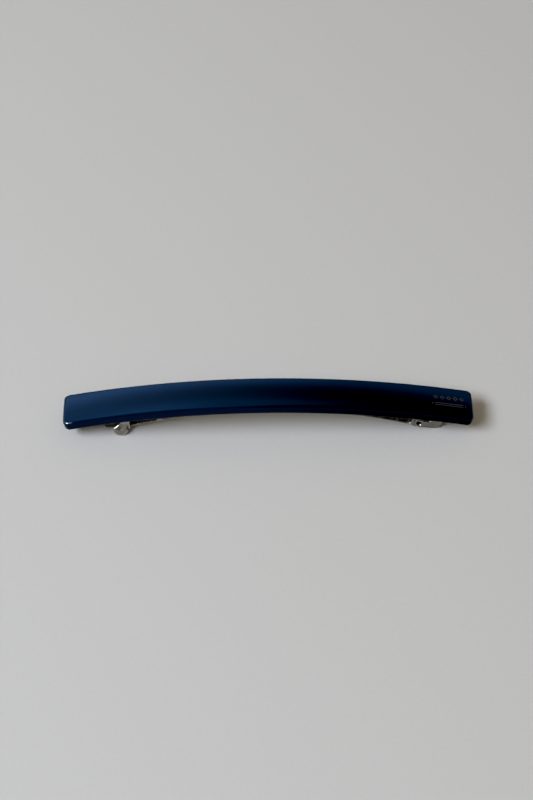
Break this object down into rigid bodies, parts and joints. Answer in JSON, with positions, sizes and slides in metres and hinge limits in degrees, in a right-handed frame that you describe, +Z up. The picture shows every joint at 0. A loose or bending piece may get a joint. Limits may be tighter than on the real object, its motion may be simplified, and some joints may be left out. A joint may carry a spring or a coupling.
{
  "type": "hair barrette",
  "caption": "Slim arched hair barrette in glossy navy acetate on a sprung metal clasp with a hinged bowed arm and a squeeze latch.",
  "frame": {"origin": "on the surface that the barrette stands on, under the middle of its bounding box", "axes": "+X along the bar towards the hinge, -X towards the latch, +Y across the bar to the rear, +Z up out of the bar's convex face"},
  "size_m": [0.105, 0.0104, 0.0115],
  "materials": {
    "navy_acetate": "polished cellulose acetate",
    "nickel_steel": "bright nickel plate on stamped steel",
    "spring_steel": "nickel-plated spring steel",
    "brass_rivet": "plain rivet heads"
  },
  "bodies": {
    "barrette_body": {"acetate_bar": "navy_acetate", "base_plate": "nickel_steel", "mount_rivet_left": "brass_rivet", "mount_rivet_right": "brass_rivet", "hinge_pin": "nickel_steel", "latch_plate": "spring_steel", "latch_rivet": "brass_rivet"},
    "arm": {"clasp_arm": "nickel_steel"},
    "spring": {"tension_spring": "spring_steel"},
    "wing_front": {"latch_wing_front": "spring_steel"},
    "wing_rear": {"latch_wing_rear": "spring_steel"}
  },
  "joints": [
    {"name": "clasp_arm_hinge", "type": "hinge", "parent": "barrette_body", "child": "arm", "pos_m": [0.0386, 0, 0.00225], "axis": [0, -1, 0], "range_deg": [0, 95]},
    {"name": "tension_spring_hinge", "type": "hinge", "parent": "barrette_body", "child": "spring", "pos_m": [0.0386, 0, 0.00225], "axis": [0, -1, 0], "range_deg": [0, 40]},
    {"name": "latch_wing_front_squeeze", "type": "hinge", "parent": "barrette_body", "child": "wing_front", "pos_m": [-0.03762, -0.00285, 0.00478], "axis": [0.1595, 0, -0.9872], "range_deg": [0, 10], "stiffness_Nm_per_rad": 0.0005},
    {"name": "latch_wing_rear_squeeze", "type": "hinge", "parent": "barrette_body", "child": "wing_rear", "pos_m": [-0.03762, 0.00285, 0.00478], "axis": [-0.1595, 0, 0.9872], "range_deg": [0, 10], "stiffness_Nm_per_rad": 0.0005}
  ],
  "couplings": [
    {"joint": "tension_spring_hinge", "follows": "clasp_arm_hinge", "ratio": 0.4},
    {"joint": "latch_wing_rear_squeeze", "follows": "latch_wing_front_squeeze", "ratio": 1}
  ]
}
